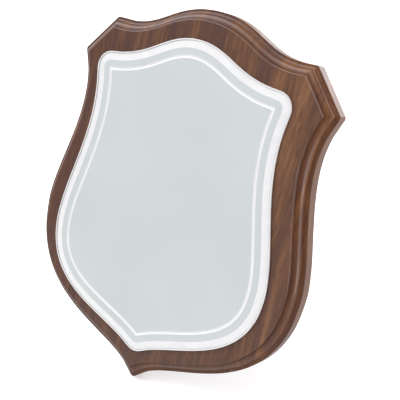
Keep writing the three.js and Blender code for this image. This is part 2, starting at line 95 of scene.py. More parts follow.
def flat_outlines(node, axes, level):
    """Outlines, as (x, z) points, of the flat faces of a CAD node at depth `level`."""
    points = points_of(node, axes)
    keys = [tuple(np.round(point / MICRON).astype(int)) for point in points]
    place = dict(zip(keys, points))
    directed = set()
    for face in frame["nodes"][node].data.polygons:
        if all(abs(points[i][1] - level) < LEVEL_TOLERANCE for i in face.vertices):
            corners = [keys[i] for i in face.vertices]
            directed.update(zip(corners, corners[1:] + corners[:1]))
    follow = {a: b for a, b in directed if (b, a) not in directed}
    loops = []
    while follow:
        start, here = follow.popitem()
        loop = [start]
        while here != start:
            loop.append(here)
            here = follow.pop(here)
        loops.append(np.array([place[key][[0, 2]] for key in loop]))
    return loops


def area(loop):
    """Area inside a loop, positive when it runs counter-clockwise."""
    x, z = loop[:, 0], loop[:, 1]
    return 0.5 * float(np.sum(x * np.roll(z, -1) - z * np.roll(x, -1)))


def turns(loop):
    """Turn at each point of a loop, positive to the left."""
    ahead = np.roll(loop, -1, 0) - loop
    behind = loop - np.roll(loop, 1, 0)
    cross = behind[:, 0] * ahead[:, 1] - behind[:, 1] * ahead[:, 0]
    return np.arctan2(cross, (behind * ahead).sum(1))


def from_lowest_corner(loop):
    """The same loop, counter-clockwise and starting at its lowest corner."""
    if area(loop) < 0:
        loop = loop[::-1]
    corners = np.abs(turns(loop)) > CORNER_ANGLE
    first = min(np.flatnonzero(corners), key=lambda i: loop[i][1])
    return np.roll(loop, -first, 0)


def largest_outline(node, axes, level):
    loops = flat_outlines(node, axes, level)
    return from_lowest_corner(max(loops, key=lambda loop: abs(area(loop))))


def smallest_island(node, axes, level):
    """Outline of the smallest flat face at a depth. Loops that run clockwise are holes."""
    loops = [loop for loop in flat_outlines(node, axes, level) if area(loop) > 0]
    loops = loops or [loop[::-1] for loop in flat_outlines(node, axes, level)]
    return from_lowest_corner(min(loops, key=area))


def smooth(loop, steps):
    """A loop with `steps` points for each one, on a spline through the old points.

    Corners stay sharp, and a side between two corners stays straight."""
    corner = np.abs(turns(loop)) > CORNER_ANGLE
    count = len(loop)
    fine = []
    for i in range(count):
        p1, p2 = loop[i], loop[(i + 1) % count]
        p0 = 2 * p1 - p2 if corner[i] else loop[i - 1]
        p3 = 2 * p2 - p1 if corner[(i + 1) % count] else loop[(i + 2) % count]
        straight = corner[i] and corner[(i + 1) % count]
        for k in range(1 if straight else steps):
            t = k / steps
            square = 2 * p0 - 5 * p1 + 4 * p2 - p3
            cube = 3 * p1 - p0 - 3 * p2 + p3
            fine.append(0.5 * (2 * p1 + (p2 - p0) * t + square * t**2 + cube * t**3))
    return np.array(fine)


def parallel(loop, distance, sharp):
    """A loop moved outward: corners stay sharp up to `sharp` and are round beyond it."""
    ahead = np.roll(loop, -1, 0) - loop
    ahead /= np.linalg.norm(ahead, axis=1)[:, None]
    after = np.column_stack([ahead[:, 1], -ahead[:, 0]])
    before = np.roll(after, 1, 0)
    moved = []
    for point, turn, a, b in zip(loop, turns(loop), before, after):
        mitre = (a + b) / (1 + a @ b)
        if turn < CORNER_ANGLE:
            moved.append(point + mitre * distance)
            continue
        centre = point + mitre * min(distance, sharp)
        for k in range(CORNER_STEPS + 1):
            angle = turn * k / CORNER_STEPS
            c, s = math.cos(angle), math.sin(angle)
            spoke = np.array([c * a[0] - s * a[1], s * a[0] + c * a[1]])
            moved.append(centre + spoke * max(distance - sharp, 0))
    return np.array(moved)


def arc(centre, radius, start, end, steps):
    """Points of an arc in a profile, angles in degrees, both ends included."""
    angles = np.radians(np.linspace(start, end, steps + 1))
    return [(centre[0] + radius * math.cos(a), centre[1] + radius * math.sin(a)) for a in angles]


# ---- sizes of the board's moulding ---------------------------------------------------------
# From the face outward: a rounded edge, a step down, a quarter round (the ovolo) and a flat.
# Distances count outward from the face's edge, depths back from the face.

FACE = largest_outline("walnut_wrap", BOARD, FRONT_Y)
OUTER = span("walnut_wrap")[1].x - FACE[:, 0].max()  # width of the moulding
DEPTH = BACK_Y - FRONT_Y                             # of the back
FACE_EDGE = 0.5 * MM        # strip of the face inside its edge
ROUND_OVER = 0.9 * MM       # radius of the face's edge
STEP = 1.5 * MM             # distance of the step's foot
STEP_DEPTH = 3.4 * MM
OVOLO = 4.4 * MM            # radius of the quarter round
FLAT_DEPTH = 8.3 * MM
COVE = 0.35 * MM            # hollow in the two inner corners
FLAT_ROUND = 0.35 * MM      # radius of the flat's outer edge
BACK_ROUND = 0.3 * MM       # radius of the back's edge
CORNER_RADIUS = 3 * MM      # of the outermost edge at the shield's corners
FOIL = 0.5 * MM             # thickness of the foil over all of it


# ---- mesh builders -------------------------------------------------------------------------

def new_object(name, mesh, materials, body, stands_for):
    """A piece that rides on a CAD body and stands for one of its nodes."""
    piece = bpy.data.objects.new(name, mesh)
    bpy.context.scene.collection.objects.link(piece)
    for material in materials:
        mesh.materials.append(material)
    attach(piece, body)
    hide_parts(stands_for)


def finish_mesh(mesh, sharp_angle):
    """Smooth shading, except over edges sharper than an angle in degrees."""
    mesh.validate()
    for face in mesh.polygons:
        face.use_smooth = True
    mesh.set_sharp_from_angle(angle=math.radians(sharp_angle))
    mesh.update()


def weld(work):
    """Joins points that coincide and drops faces without area."""
    bmesh.ops.remove_doubles(work, verts=work.verts, dist=0.1 * MICRON)
    bmesh.ops.dissolve_degenerate(work, edges=work.edges, dist=0.01 * MICRON)


def skin(name, rings, axes, flat_rings=None, band_material=None, sharp_angle=30):
    """A closed mesh over a row of rings, with a cap on the first and on the last.

    A ring is (loop, depth). `flat_rings` are the same rings as points of the flat sheet that
    was wrapped over the solid, kept as the mesh's UV map. `band_material` gives each band's
    material index, with one more at the end for the last cap."""
    size = len(rings[0][0])
    to_world = np.array(axes.to_3x3()).T
    stack = [np.column_stack([loop[:, 0], np.full(size, depth), loop[:, 1]]) for loop, depth in rings]
    vertices = np.vstack(stack) @ to_world
    faces, material, sheet = [], [], []
    flat = flat_rings if flat_rings is not None else [loop for loop, _ in rings]
    for r in range(len(rings) - 1):
        for i in range(size):
            j = (i + 1) % size
            corners = [(r, i), (r, j), (r + 1, j), (r + 1, i)]
            faces.append([a * size + b for a, b in corners])
            sheet.append([flat[a][b] for a, b in corners])
            material.append(band_material[r] if band_material else 0)
    last = len(rings) - 1
    faces.append(list(reversed(range(size))))
    sheet.append([flat[0][i] for i in reversed(range(size))])
    material.append(band_material[0] if band_material else 0)
    faces.append([last * size + i for i in range(size)])
    sheet.append([flat[last][i] for i in range(size)])
    material.append(band_material[last] if band_material else 0)
    mesh = bpy.data.meshes.new(name)
    mesh.from_pydata([tuple(v) for v in vertices], [], faces)
    uv = mesh.uv_layers.new(name="sheet")
    for face, corners in zip(mesh.polygons, sheet):
        for loop_index, corner in zip(face.loop_indices, corners):
            uv.data[loop_index].uv = corner
    mesh.polygons.foreach_set("material_index", material)
    work = bmesh.new()
    work.from_mesh(mesh)
    weld(work)
    if work.calc_volume(signed=True) < 0:
        bmesh.ops.reverse_faces(work, faces=work.faces)
    work.to_mesh(mesh)
    work.free()
    finish_mesh(mesh, sharp_angle)
    return mesh


def turned(name, profile, centre, axes, steps=40, sharp_angle=35):
    """A turned solid about the axes' y, its profile (radius, depth) from the front end back.

    `centre` is the (x, z) of its axis."""
    work = bmesh.new()
    columns = []
    for k in range(steps):
        angle = 2 * math.pi * k / steps
        across, up = math.cos(angle), math.sin(angle)
        columns.append([
            work.verts.new((centre[0] + radius * across, y, centre[1] + radius * up))
            for radius, y in profile
        ])
    for k in range(steps):
        left, right = columns[k], columns[(k + 1) % steps]
        for i in range(len(profile) - 1):
            work.faces.new([left[i], right[i], right[i + 1], left[i + 1]])
    weld(work)
    bmesh.ops.recalc_face_normals(work, faces=work.faces)
    bmesh.ops.transform(work, matrix=axes, verts=work.verts)
    mesh = bpy.data.meshes.new(name)
    work.to_mesh(mesh)
    work.free()
    finish_mesh(mesh, sharp_angle)
    return mesh


# ---- material helpers ----------------------------------------------------------------------

class Nodes:
    """Short names for building one material's node tree."""

    def __init__(self, name):
        self.material = bpy.data.materials.new(name)
        self.material.use_nodes = True
        self.tree = self.material.node_tree
        self.shader = self.tree.nodes["Principled BSDF"]

    def add(self, kind, **settings):
        node = self.tree.nodes.new("ShaderNode" + kind)
        for key, value in settings.items():
            setattr(node, key, value)
        return node

    def link(self, source, target):
        self.tree.links.new(source, target)

    def feed(self, socket, value):
        """Gives a socket a link or a plain value, or leaves it alone for None."""
        if isinstance(value, bpy.types.NodeSocket):
            self.link(value, socket)
        elif value is not None:
            socket.default_value = value

    def set(self, **inputs):
        """Inputs of the material's shader, with _ for the spaces in their names."""
        for key, value in inputs.items():
            self.feed(self.shader.inputs[key.replace("_", " ")], value)

    def math(self, operation, a, b):
        node = self.add("Math", operation=operation)
        self.feed(node.inputs[0], a)
        self.feed(node.inputs[1], b)
        return node.outputs[0]

    def split(self, vector):
        node = self.add("SeparateXYZ")
        self.link(vector, node.inputs[0])
        return node.outputs

    def scaled(self, vector, scale, offset=(0, 0, 0)):
        """A vector with each axis scaled: features per metre across that axis."""
        node = self.add("Mapping")
        self.feed(node.inputs["Vector"], vector)
        node.inputs["Scale"].default_value = scale
        node.inputs["Location"].default_value = offset
        return node.outputs[0]

    def noise(self, vector, scale, offset=(0, 0, 0), detail=3, roughness=0.5, distortion=0.0):
        """Noise from 0 to 1, with about `scale` lumps per metre along each axis."""
        node = self.add("TexNoise")
        self.feed(node.inputs["Vector"], self.scaled(vector, scale, offset))
        node.inputs["Scale"].default_value = 1.0
        node.inputs["Detail"].default_value = detail
        node.inputs["Roughness"].default_value = roughness
        node.inputs["Distortion"].default_value = distortion
        return node.outputs["Fac"]

    def ramp(self, factor, *stops):
        """A colour, or a grey for a plain number, read between stops (position, colour)."""
        node = self.add("ValToRGB")
        self.feed(node.inputs[0], factor)
        elements = node.color_ramp.elements
        while len(elements) < len(stops):
            elements.new(0.5)
        for element, (position, color) in zip(elements, stops):
            element.position = position
            element.color = (*color, 1) if isinstance(color, tuple) else (color, color, color, 1)
        return node.outputs[0]

    def range(self, value, low, high, to_low, to_high):
        """A value taken from low..high to to_low..to_high, and held at its ends."""
        node = self.add("MapRange")
        self.feed(node.inputs["Value"], value)
        node.inputs["From Min"].default_value = low
        node.inputs["From Max"].default_value = high
        node.inputs["To Min"].default_value = to_low
        node.inputs["To Max"].default_value = to_high
        return node.outputs[0]

    def between(self, value, rise, fall):
        """1 between two stretches of a value, rising over the first and falling over the last."""
        return self.math("MULTIPLY", self.range(value, *rise, 0, 1), self.range(value, *fall, 1, 0))

    def mix(self, factor, a, b):
        node = self.add("Mix", data_type="RGBA")
        self.feed(node.inputs[0], factor)
        for socket, value in ((node.inputs[6], a), (node.inputs[7], b)):
            self.feed(socket, (*value, 1) if isinstance(value, tuple) else value)
        return node.outputs[2]

    def bump(self, height, distance, strength=1.0):
        """A normal for a relief whose heights from 0 to 1 stand for `distance` metres."""
        node = self.add("Bump")
        self.feed(node.inputs["Height"], height)
        node.inputs["Distance"].default_value = distance
        node.inputs["Strength"].default_value = strength
        return node.outputs[0]

    def place(self):
        """Object coordinates, in metres."""
        return self.add("TexCoord").outputs["Object"]

    def on_board(self):
        """Object coordinates turned into the board's axes."""
        node = self.add("VectorRotate", rotation_type="X_AXIS")
        self.feed(node.inputs["Vector"], self.place())
        node.inputs["Angle"].default_value = math.atan2(UP.y, UP.z)
        return node.outputs[0]


def even(scale):
    """The same scale along all three axes."""
    return (scale, scale, scale)


def linear(red, green, blue):
    """Linear colour from an everyday 0-255 one."""
    def decode(value):
        value /= 255
        return value / 12.92 if value <= 0.04045 else ((value + 0.055) / 1.055) ** 2.4
    return tuple(decode(v) for v in (red, green, blue))


# ---- materials -----------------------------------------------------------------------------

def walnut_foil():
    """Dark walnut with upright, slightly wandering streaks, under a semi-gloss lacquer.

    Its grain is drawn on the flat foil, so it runs over the moulding as the foil does."""
    n = Nodes("walnut_foil")
    sheet = n.add("UVMap", uv_map="sheet").outputs[0]
    sideways, upward, _ = n.split(sheet)
    # The grain drifts sideways as it climbs, and its streaks waver on a smaller scale.
    drift = n.noise(sheet, (12, 7, 1), detail=2)
    waver = n.noise(sheet, (70, 40, 1), (3, 1, 0), detail=2)
    across = n.math("ADD", sideways, n.range(drift, 0, 1, -0.007, 0.007))
    across = n.math("ADD", across, n.range(waver, 0, 1, -0.0012, 0.0012))
    grain = n.add("CombineXYZ")
    n.link(across, grain.inputs[0])
    n.link(upward, grain.inputs[1])
    grain = grain.outputs[0]
    broad = n.noise(grain, (85, 4, 1), detail=2)
    streak = n.noise(grain, (420, 30, 1), (7, 2, 0), detail=3, roughness=0.6)
    fibre = n.noise(grain, (1300, 90, 1), (1, 9, 0), detail=3, roughness=0.6)
    tone = n.math("ADD", n.math("MULTIPLY", broad, 0.45), n.math("MULTIPLY", streak, 0.35))
    tone = n.math("ADD", tone, n.math("MULTIPLY", fibre, 0.20))
    # Painted light: the wood is a little lighter to the right, where more light falls on it. It is also
    # darker towards the tip.
    tone = n.math("ADD", tone, n.range(sideways, -0.11, 0.11, -0.028, 0.022))
    tone = n.math("ADD", tone, n.range(upward, -0.02, 0.07, -0.05, 0.0))
    wood = n.ramp(
        tone,
        (0.38, linear(66, 40, 26)),
        (0.46, linear(90, 57, 36)),
        (0.54, linear(107, 70, 44)),
        (0.63, linear(124, 84, 54)),
    )
    # Purplish bands, dark flecks along the grain, and fine open pores.
    hue = n.noise(grain, (110, 6, 1), (4, 4, 0), detail=2)
    hue = n.math("SUBTRACT", hue, n.range(sideways, -0.11, 0.11, -0.13, 0.05))
    wood = n.mix(n.range(hue, 0.44, 0.66, 0, 0.75), wood, linear(74, 46, 40))
    flecks = n.noise(grain, (1000, 75, 1), (8, 3, 0), detail=2)
    wood = n.mix(n.range(flecks, 0.52, 0.66, 0, 0.45), wood, linear(62, 36, 26))
    pores = n.noise(grain, (2600, 130, 1), (5, 5, 0), detail=2)
    pore = n.range(pores, 0.60, 0.68, 0, 1)
    wood = n.mix(n.math("MULTIPLY", pore, 0.4), wood, linear(44, 26, 20))
    # Painted light: the moulding's colour is made warmer and lighter than the face's, for the light it
    # catches. Painted shade darkens its step and its flat, and lowers their sheen.
    depth = n.math("SUBTRACT", n.split(n.on_board())[1], FRONT_Y)
    # Painted light: lifts the value and saturation of the wood off the face.
    moulding_painted_light = n.add("HueSaturation")
    moulding_painted_light.inputs["Saturation"].default_value = 1.1
    moulding_painted_light.inputs["Value"].default_value = 1.12
    n.link(n.range(depth, 0.3 * MM, 1.0 * MM, 0, 1), moulding_painted_light.inputs["Fac"])
    n.link(wood, moulding_painted_light.inputs["Color"])
    wood = moulding_painted_light.outputs[0]
    # Painted shade: masks of the step and the flat, where the moulding's hollows fall into shade.
    in_step = n.between(
        depth,
        (ROUND_OVER - 0.4 * MM, ROUND_OVER + 0.1 * MM),
        (STEP_DEPTH - 0.2 * MM, STEP_DEPTH + 0.1 * MM),
    )
    on_flat = n.between(
        depth,
        (FLAT_DEPTH - 1.3 * MM, FLAT_DEPTH - 0.1 * MM),
        (FLAT_DEPTH + 0.1 * MM, FLAT_DEPTH + 0.9 * MM),
    )
    painted_shade = n.math("ADD", n.math("MULTIPLY", in_step, 0.5), n.math("MULTIPLY", on_flat, 0.2))
    # Painted shade: a dark brown laid into the step and onto the flat.
    wood = n.mix(painted_shade, wood, linear(60, 30, 10))
    n.set(Base_Color=wood, IOR=1.5, Specular_IOR_Level=n.range(painted_shade, 0, 0.6, 0.5, 0.2))
    gloss = n.range(broad, 0.3, 0.7, 0.25, 0.22)
    n.set(Roughness=n.math("ADD", gloss, n.range(depth, ROUND_OVER, STEP_DEPTH, 0, 0.1)))
    n.set(Normal=n.bump(pore, 0.02 * MM, 0.6))
    return n.material


def satin_silver():
    """The plate's flat field: a pale, very even satin with a trace of rolling lines."""
    n = Nodes("satin_silver")
    place = n.on_board()
    lines = n.noise(place, (30, 30, 2600), detail=2)
    cloud = n.noise(place, even(14), detail=2)
    color = n.ramp(cloud, (0.35, linear(191, 197, 197)), (0.65, linear(195, 201, 201)))
    color = n.mix(n.range(lines, 0.3, 0.7, 0, 0.25), color, linear(203, 209, 208))
    n.set(Base_Color=color, Metallic=0.25, Roughness=n.range(lines, 0.3, 0.7, 0.42, 0.52))
    n.set(Normal=n.bump(lines, 0.01 * MM, 0.4))
    return n.material


def bright_silver():
    """Bevel, lip and engraved line: cut bright, almost white."""
    n = Nodes("bright_silver")
    place = n.on_board()
    cutter = n.noise(place, even(120), detail=2)
    color = n.ramp(cutter, (0.3, linear(222, 222, 222)), (0.7, linear(228, 228, 227)))
    n.set(Base_Color=color, Metallic=0.15, Roughness=n.range(cutter, 0.3, 0.7, 0.30, 0.34))
    return n.material


def dull_shaded_silver():
    """The wall down into the channel beside the lip: rougher than the polished metal, and coloured
    darker as painted shade in the recess.
    """
    n = Nodes("dull_shaded_silver")
    grime_and_shade = n.noise(n.on_board(), even(400), detail=3)
    # Painted shade: a grey far darker than the bright metal beside it, for the shade in the channel.
    color = n.ramp(grime_and_shade, (0.3, linear(124, 118, 113)), (0.7, linear(152, 146, 140)))
    n.set(Base_Color=color, Metallic=0.3, Roughness=0.5)
    return n.material


def raw_fibreboard():
    n = Nodes("raw_fibreboard")
    place = n.on_board()
    layers = n.noise(place, (300, 2500, 300), detail=4)
    specks = n.noise(place, even(2200), detail=2)
    color = n.ramp(layers, (0.3, linear(142, 112, 82)), (0.7, linear(190, 160, 122)))
    color = n.mix(n.range(specks, 0.6, 0.75, 0, 0.5), color, linear(96, 70, 48))
    n.set(Base_Color=color, Roughness=0.9, Normal=n.bump(specks, 0.08 * MM))
    return n.material


def backing_paper():
    """Matt dark brown balance paper with short pressed fibres and a faint mottle."""
    n = Nodes("backing_paper")
    place = n.on_board()
    mottle = n.noise(place, even(45), detail=4, roughness=0.6)
    fibres = n.noise(place, (900, 900, 260), detail=3, distortion=1.5)
    color = n.ramp(mottle, (0.3, linear(78, 62, 52)), (0.7, linear(98, 79, 66)))
    color = n.mix(n.range(fibres, 0.55, 0.72, 0, 0.45), color, linear(126, 104, 86))
    color = n.mix(n.range(fibres, 0.3, 0.42, 0.35, 0), color, linear(52, 40, 33))
    n.set(Base_Color=color, Roughness=n.range(mottle, 0.3, 0.7, 0.62, 0.78))
    n.set(Normal=n.bump(fibres, 0.06 * MM))
    return n.material


def painted_hardboard():
    """Satin black paint over pressed hardboard, rubbed thin along its edges."""
    n = Nodes("painted_hardboard")
    place = n.place()
    pebble = n.noise(place, even(700), detail=3)
    weave = n.add("TexVoronoi", feature="F1")
    n.link(n.scaled(place, even(520)), weave.inputs["Vector"])
    dust = n.noise(place, even(60), detail=4)
    color = n.ramp(pebble, (0.3, linear(26, 25, 25)), (0.7, linear(40, 39, 38)))
    color = n.mix(n.range(dust, 0.55, 0.75, 0, 0.25), color, linear(66, 63, 60))
    edge = n.add("NewGeometry").outputs["Pointiness"]
    color = n.mix(n.range(edge, 0.55, 0.62, 0, 0.4), color, linear(64, 56, 48))
    n.set(Base_Color=color, Roughness=n.range(dust, 0.3, 0.7, 0.38, 0.52))
    height = n.math("ADD", pebble, n.math("MULTIPLY", weave.outputs["Distance"], 0.4))
    n.set(Normal=n.bump(height, 0.08 * MM))
    return n.material


def plated_steel(name, low, high, roughness):
    """Pressed sheet steel with a thin plating: faint rolling lines, cloudy sheen, darker pits."""
    n = Nodes(name)
    place = n.place()
    lines = n.noise(place, (160, 5200, 5200), detail=2)
    cloud = n.noise(place, even(180), detail=3)
    color = n.ramp(cloud, (0.3, low), (0.7, high))
    pits = n.noise(place, even(2400), detail=1)
    color = n.mix(n.range(pits, 0.66, 0.74, 0, 0.35), color, tuple(v * 0.35 for v in low))
    n.set(Base_Color=color, Metallic=1.0)
    n.set(Roughness=n.range(cloud, 0.3, 0.7, roughness, roughness + 0.14))
    n.set(Normal=n.bump(lines, 0.01 * MM, 0.6))
    return n.material


def black_rubber():
    n = Nodes("black_rubber")
    place = n.place()
    grain = n.noise(place, even(1800), detail=3)
    bloom = n.noise(place, even(220), detail=3)
    color = n.ramp(bloom, (0.35, linear(30, 30, 31)), (0.7, linear(50, 50, 50)))
    n.set(Base_Color=color, Roughness=n.range(grain, 0.3, 0.7, 0.6, 0.8))
    n.set(Normal=n.bump(grain, 0.04 * MM))
    return n.material


def foam_tape():
    n = Nodes("foam_tape")
    cells = n.noise(n.place(), even(2600), detail=2)
    color = n.ramp(cells, (0.35, linear(182, 178, 170)), (0.65, linear(214, 211, 204)))
    n.set(Base_Color=color, Roughness=0.8, Normal=n.bump(cells, 0.05 * MM))
    return n.material


WALNUT = walnut_foil()
SATIN = satin_silver()
BRIGHT = bright_silver()
DULL_SHADED = dull_shaded_silver()
FIBREBOARD = raw_fibreboard()
PAPER = backing_paper()
BLACK_PAINT = painted_hardboard()
ZINC = plated_steel("zinc_plated_steel", linear(168, 170, 172), linear(206, 207, 206), 0.26)
BRASSED = plated_steel("brassed_steel", linear(176, 142, 78), linear(212, 178, 108), 0.24)
RUBBER = black_rubber()
TAPE = foam_tape()


# ---- board ---------------------------------------------------------------------------------

def ovolo(start, end, steps):
    """Part of the quarter round outside the step, between two angles in degrees."""
    return arc((STEP, STEP_DEPTH + OVOLO), OVOLO, start, end, steps)


def moulding():
    """The board's edge from the face to the back, as (distance, depth)."""
    ovolo_end = STEP + OVOLO
    flat_centre = (OUTER - FLAT_ROUND, FLAT_DEPTH + FLAT_ROUND)
    back_centre = (OUTER - BACK_ROUND, DEPTH - BACK_ROUND)
    return [
        (-FACE_EDGE, 0),
        *arc((0, ROUND_OVER), ROUND_OVER, -90, -14, 8),
        (STEP - COVE * 0.25, STEP_DEPTH - COVE),
        (STEP - COVE * 0.05, STEP_DEPTH - COVE * 0.3),
        *ovolo(-86, -4, 16),
        (ovolo_end + COVE * 0.12, FLAT_DEPTH - COVE * 1.1),
        (ovolo_end + COVE * 0.5, FLAT_DEPTH - COVE * 0.35),
        (ovolo_end + COVE * 1.4, FLAT_DEPTH - COVE * 0.05),
        *arc(flat_centre, FLAT_ROUND, -90, 0, 5),
        (OUTER, FLAT_DEPTH + 1.5 * MM),
        (OUTER, DEPTH - 1 * MM),
        *arc(back_centre, BACK_ROUND, 0, 75, 3),
    ]


def foil_inside():
    """The foil's inner face in the same way, without the small rounds."""
    return [
        (-FOIL, FOIL),
        (STEP - FOIL, STEP_DEPTH + FOIL),
        *[(distance - FOIL, depth + FOIL) for distance, depth in ovolo(-60, -10, 3)],
        (OUTER - FOIL, FLAT_DEPTH + FOIL),
        (OUTER - FOIL, DEPTH),
    ]


def walnut_skin():
    """The foil, from its inner face round the back edge and over the moulding to the front."""
    outline = smooth(FACE, 4)
    sharp = OUTER - CORNER_RADIUS
    outside, unrolled = [], []
    profile = moulding()
    travelled = 0
    for i, (distance, depth) in enumerate(profile):
        if i:
            travelled += math.dist(profile[i - 1], profile[i])
        outside.append((parallel(outline, distance, sharp), FRONT_Y + depth))
        unrolled.append(parallel(outline, profile[0][0] + travelled, sharp))
    inside = [(parallel(outline, d, sharp - FOIL), FRONT_Y + y) for d, y in foil_inside()]
    rings = inside + outside[::-1]
    flat = [loop for loop, _ in inside] + unrolled[::-1]
    mesh = skin("walnut_skin", rings, BOARD, flat)
    new_object("walnut_skin", mesh, [WALNUT], "board", "walnut_wrap")


# ---- plate ---------------------------------------------------------------------------------

def silver_plate():
    """The pressed plate, its profile counted outward from the middle of the engraved line."""
    low, high = span("award_plate")
    top, thickness = low.y, high.y - low.y
    groove = 0.7 * MM        # half its width
    groove_depth = 0.22 * MM
    groove_floor = groove * 0.35
    strip = 0.4 * MM         # bright edge of the groove
    lip = 0.9 * MM           # width of the raised rim
    bevel_in = 6.1 * MM      # where the bevel meets the flat band
    drop = 0.45 * MM         # of the bevel, at its outer end
    gutter = 0.7 * MM        # depth of the gutter between bevel and rim
    soft = 0.12 * MM         # small rounds
    field = smooth(smallest_island("award_plate", BOARD, top), 3)
    edge = high.x - field[:, 0].max() - groove
    channel = edge - lip
    satin, bright, dull_shaded = range(3)
    # Distance, depth, and the finish of the band from there to the next point.
    profile = [
        (edge - soft, thickness, bright),
        (edge, thickness - soft, bright),
        *[(d, y, bright) for d, y in arc((edge - soft, soft), soft, 0, -90, 3)],
        (channel + soft, 0, bright),
        (channel, soft, dull_shaded),
        # The band down into the channel takes the darker, painted-shade finish.
        (channel - soft * 0.3, gutter, bright),
        (channel - 2 * soft, gutter, bright),
        (channel - 3 * soft, drop, bright),
        (bevel_in + 4 * soft, soft * 0.375, bright),
        (bevel_in, 0, satin),
        (bevel_in - 0.5 * MM, 0, satin),
        (groove + strip, 0, bright),
        (groove, 0, bright),
        (groove_floor, groove_depth, bright),
        (-groove_floor, groove_depth, bright),
        (-groove, 0, bright),
        (-groove - strip, 0, satin),
    ]
    rings = []
    for distance, depth, _ in profile:
        sharp = groove + min(max(distance, 0), groove)
        rings.append((parallel(field, distance + groove, sharp), top + depth))
    finishes = [finish for _, _, finish in profile]
    mesh = skin("silver_plate", rings, BOARD, band_material=finishes, sharp_angle=12)
    new_object("silver_plate", mesh, [SATIN, BRIGHT, DULL_SHADED], "board", "award_plate")


# ---- strut ---------------------------------------------------------------------------------

def strut_board():
    """The leg, with its edges rounded over."""
    low, high = span("strut_leg", STRUT)
    thickness = high.y - low.y
    outline = smooth(largest_outline("strut_leg", STRUT, low.y), 3)
    soft = 0.45 * MM
    front = [(-soft, 0), *[(d - soft, y) for d, y in arc((0, soft), soft, -90, 0, 3)]]
    profile = front + [(d, thickness - y) for d, y in reversed(front)]
    rings = [(parallel(outline, d, sharp=1), low.y + y) for d, y in profile]
    mesh = skin("strut_board", rings, STRUT)
    new_object("strut_board", mesh, [BLACK_PAINT], "strut", "strut_leg")


# ---- fasteners and bumpers -----------------------------------------------------------------

SHANK = 1.6 * MM            # radius of screws and rivets
SCREW_HEAD = 1.5 * MM
SCREW_POINT = 4 * MM
PITCH = 1.3 * MM
RECESS_DEPTH = 0.9 * MM
RECESS_TAPER = 0.55         # length of the recess at its bottom, as a part of that at its top
RIVET_HEAD = 1.1 * MM
RIVET_RIM = 0.15 * MM


def cross_recess(head, centre, axes, half_length, half_width):
    """The mesh of a head with a cross-shaped driver recess cut into it at `centre`."""
    cutter = bmesh.new()
    for across in (0, math.pi / 2):
        made = bmesh.ops.create_cube(cutter, size=2)["verts"]
        for vertex in made:
            x, y, z = vertex.co
            taper = RECESS_TAPER if y < 0 else 1
            vertex.co = Vector((x * half_length * taper, y * RECESS_DEPTH, z * half_width))
        bmesh.ops.transform(cutter, matrix=Matrix.Rotation(across, 4, "Y"), verts=made)
    bmesh.ops.transform(cutter, matrix=axes @ Matrix.Translation(centre), verts=cutter.verts)
    cutter_mesh = bpy.data.meshes.new("recess")
    cutter.to_mesh(cutter_mesh)
    cutter.free()
    tool = bpy.data.objects.new("recess", cutter_mesh)
    body = bpy.data.objects.new("head", head)
    for item in (tool, body):
        bpy.context.scene.collection.objects.link(item)
    boolean = body.modifiers.new("recess", "BOOLEAN")
    boolean.operation = "DIFFERENCE"
    boolean.object = tool
    boolean.solver = "EXACT"
    boolean.use_self = True
    bpy.context.view_layer.update()
    cut = body.evaluated_get(bpy.context.evaluated_depsgraph_get())
    shape = bpy.data.meshes.new_from_object(cut)
    for item in (tool, body):
        bpy.data.objects.remove(item)
    finish_mesh(shape, 30)
    return shape


def wood_screw(node, material):
    """A screw into the board, from its point back to its domed head."""
    low, high = span(node)
    centre = middle(node)
    radius = (high.x - low.x) / 2
    under = high.y - SCREW_HEAD
    thread = low.y + SCREW_POINT
    profile = [(0, low.y), (SHANK * 0.25, low.y + 0.4 * MM)]
    profile += [(SHANK * 0.8, thread - 1 * MM), (SHANK, thread)]
    while thread < under - 2 * PITCH:
        for across, along in ((0.98, 0.3), (0.74, 0.6), (0.98, 0.9)):
            profile += [(SHANK * across, thread + PITCH * along)]
        thread += PITCH
    profile += [(SHANK, under), (radius - 0.1 * MM, under), (radius, under + 0.12 * MM)]
    for across, up in ((1, 0.35), (0.93, 0.62), (0.72, 0.86), (0.4, 0.97)):
        profile += [(radius * across, under + SCREW_HEAD * up)]
    profile += [(0, high.y)]
    mesh = turned(node, profile, (centre.x, centre.z), BOARD)
    recess = Vector((centre.x, high.y, centre.z))
    mesh = cross_recess(mesh, recess, BOARD, radius * 0.62, radius * 0.13)
    new_object(node + "_cross_head", mesh, [material], "board", node)


def dome_rivet(node):
    """A rivet through the leg and its hinge leaf, with a domed head at the back."""
    low, high = span(node, STRUT)
    centre = middle(node, STRUT)
    radius = (high.x - low.x) / 2
    under = high.y - RIVET_HEAD
    dome = [
        (radius * math.cos(a), under + RIVET_RIM + (RIVET_HEAD - RIVET_RIM) * math.sin(a))
        for a in np.linspace(0, math.pi / 2, 9)
    ]
    profile = [(0, low.y), (SHANK, low.y), (SHANK, under), (radius - 0.05 * MM, under), *dome]
    mesh = turned(node, profile, (centre.x, centre.z), STRUT)
    new_object(node + "_dome", mesh, [ZINC], "strut", node)


def rubber_bumper(node):
    """A moulded bumper: a narrow flange, a tapered wall, a rounded rim and a dished top."""
    low, high = span(node)
    centre = middle(node)
    radius = (high.x - low.x) / 2
    top = radius - 1.9 * MM
    rim = 1.2 * MM
    profile = [
        (0, low.y),
        (radius - 0.2 * MM, low.y),
        (radius, low.y + 0.2 * MM),
        (radius, low.y + 0.9 * MM),
        (radius - 0.25 * MM, low.y + 1.1 * MM),
        *arc((top - 0.1 * MM, high.y - rim), rim, 8, 90, 7),
        (top * 0.45, high.y),
        (top * 0.40, high.y - 0.25 * MM),
        (0, high.y - 0.3 * MM),
    ]
    mesh = turned(node, profile, (centre.x, centre.z), BOARD, steps=48)
    new_object(node + "_moulded", mesh, [RUBBER], "board", node)


# ---- CAD nodes that stay -------------------------------------------------------------------

SOFT_ANGLE = 30  # edges sharper than this are bevelled, in degrees

